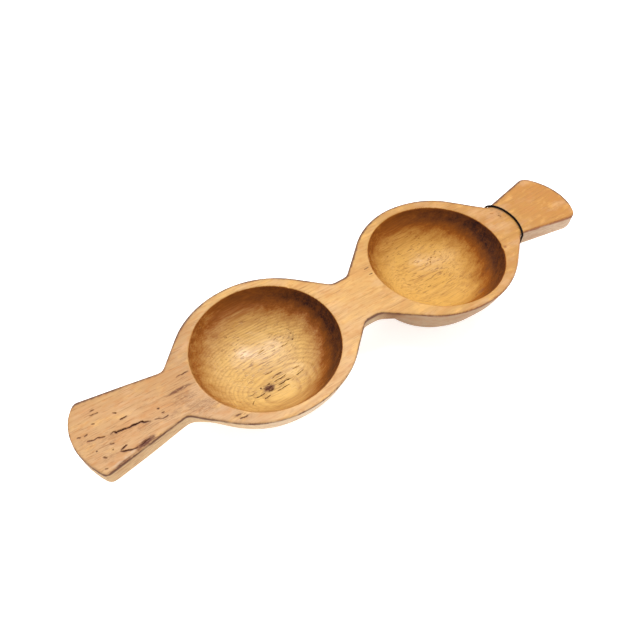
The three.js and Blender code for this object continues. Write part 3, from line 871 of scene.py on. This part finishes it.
TOP_BEIGE = srgb(198, 160, 120)
TOP_BLOTCH = srgb(176, 112, 52)
TOP_YELLOW = srgb(222, 172, 96)
# the hollows' gold: partly the carved wood's own tone, partly painted warm light bounced inside the
# bowls and the brightness of their lit floors
HOLLOW_LEFT = srgb(218, 176, 100)
HOLLOW_RIGHT = srgb(212, 164, 84)
GRAIN_DARK = srgb(140, 88, 44)
PORE_DARK = srgb(112, 66, 32)
# the hollows' walls: partly oiled end grain, partly painted shade
WALL_GRAIN_AND_SHADE_BROWN = srgb(138, 78, 26)
WALL_GRAIN_AND_SHADE_BLACK = srgb(45, 26, 25)
EDGE_LEFT = srgb(84, 48, 32)
EDGE_RIGHT = srgb(128, 74, 40)
STAIN = srgb(94, 60, 52)
MARK_DARK = srgb(66, 34, 24)
SCUFF_PALE = srgb(192, 166, 138)

# Noise of the wood: cycles per millimetre along X, Y and Z, detail and roughness
PLACE_NOISE = {
    "sway": ((0.012, 0.03, 0.03), 2, 0.5),
    "ripple": ((0.05, 0.1, 0.1), 2, 0.5),
    "zone": ((0.014, 0.03, 0.03), 2, 0.5),
    "blotch": ((0.045, 0.09, 0.09), 4, 0.6),
    "worn": ((0.03, 0.05, 0.05), 3, 0.6),
    "mottle": ((0.13, 0.38, 0.38), 4, 0.65),
    "ring_strength": ((0.02, 0.06, 0.12), 2, 0.5),
    "pore_crowd": ((0.025, 0.05, 0.05), 1, 0.5),
    "edge_patch": ((0.08, 0.08, 0.08), 3, 0.6),
    "gloss": ((0.045, 0.06, 0.06), 2, 0.5),
}
# The same, laid along the swaying fibres
FIBRE_NOISE = {
    "fibre": ((0.02, 0.85, 0.85), 4, 0.62),
    "strand": ((0.035, 0.5, 0.5), 3, 0.6),
    "streak": ((0.011, 0.17, 0.17), 3, 0.55),
    "dash": ((0.11, 1.05, 1.05), 1.5, 0.45),
    "thin_line": ((0.04, 0.95, 0.95), 1, 0.4),
    "cloud": ((0.3, 1, 1), 4, 0.7),
}

# In what follows a pair is the two values between which a layer goes from none to full

# How far the fibres and the colour zones wander, in millimetres
SWAY = 6
SWAY_RISE = 0.7               # the sway up and down as a share of the sway across
RIPPLE = 1.6
ZONE_WANDER = 60

BOWL_TURN = (-20, 20)         # x between which the left bowl's numbers turn into the right one's
OUTER_LIFT = (0.75, 0.35)     # upward part of the normal at the top's edge and on the outer sides

# The ground colour
NEAR_FADE = (35, -50)         # y and x towards the near rim of the left bowl, which is rubbed to beige
LEFT_FADE = (20, -60)
NEAR_BEIGE = 0.55
# how strongly the hollows take their gold, which is partly painted bounce light
HOLLOW_GOLD = 0.85
# the outer sides' paler tone, partly painted light bounced up from the pale table
SIDE_PALE = 0.9
TOP_LAYERS = [                # noise, fade, strength and tint
    ("blotch", (0.45, 0.7), 0.3, TOP_BLOTCH),
    ("blotch", (0.48, 0.3), 0.45, TOP_YELLOW),
    ("worn", (0.5, 0.68), 0.4, TOP_BEIGE),
    ("mottle", (0.48, 0.68), 0.4, TOP_BLOTCH),
]

# Darker grain: noise, fade, and strength on the top face with what hollows and outer sides add to it
GRAIN_LAYERS = [
    ("fibre", (0.62, 0.3), 0.15, 0, 0),
    ("strand", (0.48, 0.66), 0.06, 0.28, 0.3),
    ("streak", (0.5, 0.75), 0.15, 0, 0.25),
]

# Growth rings: late wood darkens slowly and ends at once
RING_SPACING = 1.9
RING_AXIS = (-130, -240)      # y and z of the tree's middle, far below the board
RING_RISE = (0.3, 0.85)
RING_FALL = (1, 0.88)
RING_FADE = (0.3, 0.7)
RING_STRENGTH = (0.03, 0.22)
RING_BY_BOWL = (0.14, -0.02)  # what the left and the right hollow add to the strength

# Pores open where their noise passes a gate, which lies lower in crowds, hollows and worn wood
PORE_GATE = 0.715
PORE_CROWD = 0.17
PORE_HOLLOW = 0.025
PORE_WORN = 0.015
PORE_SLOPE = 16
WORN_FADE = (-120, -145)      # x towards the worn left handle
OPEN_FADE = (-30, 4)          # y across the hollows, whose far halves show open pores
OPEN_LEAST = 0.1
END_GRAIN = (0.6, 0.2)        # X part of the normal where the dashes end and where they're full
PORE_SHADE = 0.2
PORE_SHADE_OPEN = 0.38
PORE_SHADE_WORN = 0.15
THIN_FADE = (0.68, 0.74)
THIN_SHADE = 0.4

# Dark walls, partly oiled end grain and partly painted shade, with a ragged boundary
WALL_RAGGED = 0.45
RAGGED_FADE = (0, 0.25)
BROWN_FADE = (0, 0.5)
BLACK_FADE = (0.45, 1)

# The line along the outer edge, reddish on the near side of the right half up to its tip
EDGE_PATCH_FADE = (0.35, 0.6)
EDGE_PATCH_LEAST = 0.45
EDGE_GAIN = 1.9
EDGE_MOST = 0.9
RED_RISE = (-20, 120)
RED_NEAR = (20, -5)
RED_TIP = (214, 204)

# Stains, scuffs and marks
STAIN_LIFT = 0.32
STAIN_CLOUD = (0.5, 0.85)
SCUFF_CLOUD = (0.35, 0.6)
MARK_DARKENS = (0.1, 0.75)

# Sheen and relief of the wood
ROUGHNESS = (0.38, -0.2, 0.15)   # on the top face, with what hollows and outer sides add to it
ROUGH_VARIES = 0.25
ROUGH_MARK = 0.3
SHEEN = 0.26
SHEEN_BY_BOWL = (0.22, -0.1)
SHEEN_LEAST = 0.02
DULL_DARK = 0.75
DULL_MARK = 0.6
DULL_STAIN = 0.3
RELIEF_FIBRE = 0.5
RELIEF_PORE = -0.9
RELIEF_STRENGTH = 0.35
RELIEF_DEPTH = 0.0002         # in metres


class Wood(Nodes):
    """The nodes of the carved wood, with the places and shares that its layers go by."""

    def __init__(self):
        super().__init__("oiled_wood")
        self.patterns = {}
        self.where = self.place()
        self.x, self.y, z = self.split(self.where)
        self.normal = self.split(self.add("NewGeometry").outputs["Normal"])
        self.hollow = self.painted("hollow")
        self.not_hollow = self.math("SUBTRACT", 1.0, self.hollow)
        self.outer = self.product(self.span(self.normal[2], *OUTER_LIFT), self.not_hollow)
        sway = self.wander("sway", SWAY)
        self.y_bent = self.total(self.y, sway, self.wander("ripple", RIPPLE))
        self.z_bent = self.total(z, self.product(sway, SWAY_RISE))
        self.fibres = self.join(self.x, self.y_bent, self.z_bent)

    def pattern(self, name):
        """A noise of the wood by its name, made once and shared."""
        if name not in self.patterns:
            if name in FIBRE_NOISE:
                self.patterns[name] = self.noise(self.fibres, *FIBRE_NOISE[name])
            else:
                self.patterns[name] = self.noise(self.where, *PLACE_NOISE[name])
        return self.patterns[name]

    def wander(self, name, size):
        """A noise spread evenly about zero."""
        return self.math("MULTIPLY_ADD", self.pattern(name), size, -size / 2)

    def by_bowl(self, left, right):
        """A number that differs between the left half and the right one."""
        return self.span(self.x, *BOWL_TURN, left, right)

    def by_skin(self, top, hollow, outer):
        """A number for the top face, with what the hollows and the outer sides add to it."""
        inside = self.math("MULTIPLY_ADD", self.hollow, hollow, top)
        return self.math("MULTIPLY_ADD", self.outer, outer, inside)

    def lay(self, tint, *shares):
        """Lays a tint over the colour so far, as strongly as the product of the shares."""
        self.colour = self.mix(self.product(*shares), self.colour, tint)


def lay_ground(n):
    """Worn on the left, golden in the middle, orange on the right; the hollows' deeper gold and the
    paler outer sides are partly painted light, bounced in the bowls and up from the table.
    """
    x_loose = n.total(n.x, n.wander("zone", ZONE_WANDER))
    n.colour = n.ramp(x_loose, TOP_ALONG)
    n.lay(TOP_BEIGE, n.span(n.y, *NEAR_FADE), n.span(x_loose, *LEFT_FADE), NEAR_BEIGE)
    for name, fade, strength, tint in TOP_LAYERS:
        n.lay(tint, n.span(n.pattern(name), *fade), strength)
    # the hollows' gold, partly painted warm bounce light
    gold = n.mix(n.by_bowl(0, 1), HOLLOW_LEFT, HOLLOW_RIGHT)
    n.lay(gold, n.hollow, HOLLOW_GOLD)
    # paler outer sides: partly their own tone, partly painted light bounced up from the pale table
    n.lay(n.ramp(n.x, SIDE_ALONG), n.outer, SIDE_PALE)


def lay_grain(n):
    """Darker fibres, strands and streaks, and the growth rings that the skin cuts through."""
    for name, fade, *strengths in GRAIN_LAYERS:
        n.lay(GRAIN_DARK, n.span(n.pattern(name), *fade), n.by_skin(*strengths))
    across = n.math("SUBTRACT", n.y_bent, RING_AXIS[0])
    up = n.math("SUBTRACT", n.z_bent, RING_AXIS[1])
    from_axis = n.join(across, up, 0.0)
    radius = n.add("VectorMath", {0: from_axis}, operation="LENGTH").outputs["Value"]
    ring = n.math("FRACT", n.math("DIVIDE", radius, RING_SPACING))
    late = n.product(n.span(ring, *RING_RISE), n.span(ring, *RING_FALL))
    strength = n.span(n.pattern("ring_strength"), *RING_FADE, *RING_STRENGTH)
    strength = n.math("MULTIPLY_ADD", n.hollow, n.by_bowl(*RING_BY_BOWL), strength)
    n.lay(GRAIN_DARK, late, strength)


def lay_pores(n):
    """Short dark dashes along the fibres, in looser and denser groups, and a few long thin lines."""
    worn = n.product(n.span(n.x, *WORN_FADE), n.not_hollow)
    gate = n.math("MULTIPLY_ADD", n.pattern("pore_crowd"), -PORE_CROWD, PORE_GATE)
    gate = n.math("SUBTRACT", gate, n.product(n.hollow, PORE_HOLLOW))
    gate = n.math("SUBTRACT", gate, n.product(worn, PORE_WORN))
    pore = n.product(n.math("SUBTRACT", n.pattern("dash"), gate), PORE_SLOPE)
    n.pore = n.math("MINIMUM", n.math("MAXIMUM", pore, 0.0), 1.0)
    open_part = n.product(n.span(n.y, *OPEN_FADE, OPEN_LEAST, 1.0), n.hollow)
    shade = n.math("MULTIPLY_ADD", open_part, PORE_SHADE_OPEN, PORE_SHADE)
    shade = n.math("MULTIPLY_ADD", worn, PORE_SHADE_WORN, shade)
    along_fibres = n.span(n.math("ABSOLUTE", n.normal[0]), *END_GRAIN)
    n.lay(PORE_DARK, n.pore, shade, along_fibres)
    n.lay(PORE_DARK, n.span(n.pattern("thin_line"), *THIN_FADE), THIN_SHADE)


def lay_wall_grain_and_shade(n):
    """The hollows' walls: oiled end grain, and painted shade on the walls that face away from the key
    light, nearly black towards +X.
    """
    dark = n.painted("wall_grain_and_shade")
    uneven = n.total(n.pattern("streak"), n.pattern("fibre"))
    ragged = n.math("MULTIPLY_ADD", uneven, WALL_RAGGED, -WALL_RAGGED)
    ragged = n.product(ragged, n.span(dark, *RAGGED_FADE))
    n.dark = n.product(n.total(dark, ragged), n.hollow)
    n.lay(WALL_GRAIN_AND_SHADE_BROWN, n.span(n.dark, *BROWN_FADE, linear=True))
    n.lay(WALL_GRAIN_AND_SHADE_BLACK, n.span(n.dark, *BLACK_FADE, linear=True))


def lay_edge_line(n):
    """A dark oiled line where the top face turns down at its outer edge."""
    patchy = n.span(n.pattern("edge_patch"), *EDGE_PATCH_FADE, EDGE_PATCH_LEAST, 1.0)
    line = n.product(n.painted("edge_line"), patchy, EDGE_GAIN)
    line = n.product(n.math("MINIMUM", line, 1.0), EDGE_MOST)
    reddish = n.product(n.span(n.x, *RED_RISE), n.span(n.y, *RED_NEAR), n.span(n.x, *RED_TIP))
    n.lay(n.mix(reddish, EDGE_LEFT, EDGE_RIGHT), line)


def lay_stains_and_marks(n):
    """Stains break up along the grain, scuffs are pale, and marks are dark down inside."""
    cloud = n.pattern("cloud")
    stain = n.painted("stain")
    lifted = n.math("MULTIPLY_ADD", stain, STAIN_LIFT, cloud)
    n.stained = n.product(n.span(lifted, *STAIN_CLOUD), stain)
    n.lay(STAIN, n.stained)
    n.lay(SCUFF_PALE, n.painted("scuff"), n.span(cloud, *SCUFF_CLOUD))
    n.mark = n.painted("mark")
    n.lay(MARK_DARK, n.span(n.mark, *MARK_DARKENS))


def finish_wood(n):
    """Sheen and relief: glossier in the hollows, duller on the outer sides and in the dark."""
    rough = n.math("MULTIPLY_ADD", n.pattern("gloss"), ROUGH_VARIES, n.by_skin(*ROUGHNESS))
    rough = n.math("MULTIPLY_ADD", n.mark, ROUGH_MARK, rough)
    n.put(rough, n.shader.inputs["Roughness"])
    sheen = n.math("MULTIPLY_ADD", n.hollow, n.by_bowl(*SHEEN_BY_BOWL), SHEEN)
    for share, dulls in ((n.dark, DULL_DARK), (n.mark, DULL_MARK), (n.stained, DULL_STAIN)):
        sheen = n.math("SUBTRACT", sheen, n.product(share, dulls))
    n.put(n.math("MAXIMUM", sheen, SHEEN_LEAST), n.shader.inputs["Specular IOR Level"])
    fibre_relief = n.product(n.pattern("fibre"), RELIEF_FIBRE)
    relief = n.total(fibre_relief, n.product(n.pore, RELIEF_PORE))
    n.bumped(relief, RELIEF_STRENGTH)


def wood_material():
    n = Wood()
    lay_ground(n)
    lay_grain(n)
    lay_pores(n)
    lay_wall_grain_and_shade(n)
    lay_edge_line(n)
    lay_stains_and_marks(n)
    n.put(n.colour, n.shader.inputs["Base Color"])
    finish_wood(n)
    return n.material


# The waxed cord
CORD_FUZZ = ((3, 3, 3), 3, 0.6)
CORD_DARK = srgb(8, 3, 1)
CORD_PALE = srgb(24, 13, 8)
CORD_ROUGHNESS = 0.5
CORD_ROUGH_VARIES = 0.25
CORD_SPECULAR = 0.06
CORD_RELIEF = 0.4


def cord_material():
    n = Nodes("waxed_cord")
    fuzz = n.noise(n.place(), *CORD_FUZZ)
    n.put(n.mix(fuzz, CORD_DARK, CORD_PALE), n.shader.inputs["Base Color"])
    rough = n.math("MULTIPLY_ADD", fuzz, CORD_ROUGH_VARIES, CORD_ROUGHNESS)
    n.put(rough, n.shader.inputs["Roughness"])
    n.shader.inputs["Specular IOR Level"].default_value = CORD_SPECULAR
    n.bumped(fuzz, CORD_RELIEF)
    return n.material


# Floor and lights: a glowing pale table, a soft light overhead, another from beyond the corded
# handle and a weaker one from behind the tray. Lengths here are in metres, powers in watts.
FLOOR_SPECK = ((0.02, 0.02, 0.02), 2, 0.5)
FLOOR_DARK = (0.8, 0.8, 0.8, 1)
FLOOR_PALE = (0.84, 0.84, 0.84, 1)
FLOOR_GLOW = 0.62
FLOOR_ROUGHNESS = 0.8
FLOOR_SPECULAR = 0.1
FLOOR_MIDDLE = 0.6
FLOOR_RADIUS = 2.4
FLOOR_SIDES = 96
SWEEP_RADIUS = 1.4
SWEEP_HEIGHT = 2.4
SWEEP_STEPS = 12
WHITE = (1, 1, 1, 1)
WORLD_STRENGTH = 0.35
SOFTBOXES = {                 # azimuth from +X and elevation in degrees, distance, size and power
    "overhead": (80, 79, 2.2, (1.5, 0.7), 30),
    "key": (5, 64, 2.8, (0.7, 0.7), 30),
    "second": (95, 45, 2.8, (0.9, 0.8), 12),
}


def floor_material():
    n = Nodes("pale_floor")
    speck = n.noise(n.place(), *FLOOR_SPECK)
    n.put(n.mix(speck, FLOOR_DARK, FLOOR_PALE), n.shader.inputs["Base Color"])
    n.shader.inputs["Emission Color"].default_value = WHITE
    n.shader.inputs["Emission Strength"].default_value = FLOOR_GLOW
    n.shader.inputs["Roughness"].default_value = FLOOR_ROUGHNESS
    n.shader.inputs["Specular IOR Level"].default_value = FLOOR_SPECULAR
    return n.material


def make_floor():
    """A round pale table whose edge sweeps up into a wall, so that no horizon shows."""
    profile = [(FLOOR_MIDDLE, 0.0), (FLOOR_RADIUS, 0.0)]
    for step in range(1, SWEEP_STEPS + 1):
        angle = math.pi / 2 * step / SWEEP_STEPS
        outward = FLOOR_RADIUS + SWEEP_RADIUS * math.sin(angle)
        profile.append((outward, SWEEP_RADIUS * (1 - math.cos(angle))))
    profile.append((FLOOR_RADIUS + SWEEP_RADIUS, SWEEP_HEIGHT))
    turns = [2 * math.pi * k / FLOOR_SIDES for k in range(FLOOR_SIDES)]
    mesh = bmesh.new()
    middle = mesh.verts.new((0, 0, 0))
    rings = []
    for radius, height in profile:
        ring = [(radius * math.cos(t), radius * math.sin(t), height) for t in turns]
        rings.append([mesh.verts.new(place) for place in ring])
    for k in range(FLOOR_SIDES):
        n = (k + 1) % FLOOR_SIDES
        mesh.faces.new((middle, rings[0][k], rings[0][n]))
        for inner, outer in zip(rings, rings[1:]):
            mesh.faces.new((inner[k], outer[k], outer[n], inner[n]))
    data = bpy.data.meshes.new("floor")
    mesh.to_mesh(data)
    mesh.free()
    data.polygons.foreach_set("use_smooth", [True] * len(data.polygons))
    floor = new_piece("floor", data)
    floor.data.materials.append(floor_material())


def add_softbox(name, azimuth, elevation, distance, size, power):
    """A soft light aimed at the tray; azimuth 0 is towards +X, in degrees."""
    data = bpy.data.lights.new(name, "AREA")
    data.shape = "RECTANGLE"
    data.size = size[0]
    data.size_y = size[1]
    data.energy = power
    az = math.radians(azimuth)
    el = math.radians(elevation)
    towards = Vector((math.cos(az) * math.cos(el), math.sin(az) * math.cos(el), math.sin(el)))
    light = bpy.data.objects.new(name, data)
    light.location = towards * distance
    light.rotation_euler = towards.to_track_quat("Z", "Y").to_euler()
    bpy.context.scene.collection.objects.link(light)


def make_light():
    world = bpy.data.worlds.new("studio")
    world.use_nodes = True
    background = world.node_tree.nodes["Background"]
    background.inputs["Color"].default_value = WHITE
    background.inputs["Strength"].default_value = WORLD_STRENGTH
    bpy.context.scene.world = world
    for name, numbers in SOFTBOXES.items():
        add_softbox(name, *numbers)
    bpy.context.scene.view_settings.view_transform = "Standard"


make_camera()
make_floor()
make_light()

tray = make_tray()
tray.data.materials.append(wood_material())
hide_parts("carved_tray")
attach(tray, "root")

cord = make_cord()
cord.data.materials.append(cord_material())
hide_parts("neck_cord")
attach(cord, "root")

bpy.context.view_layer.update()
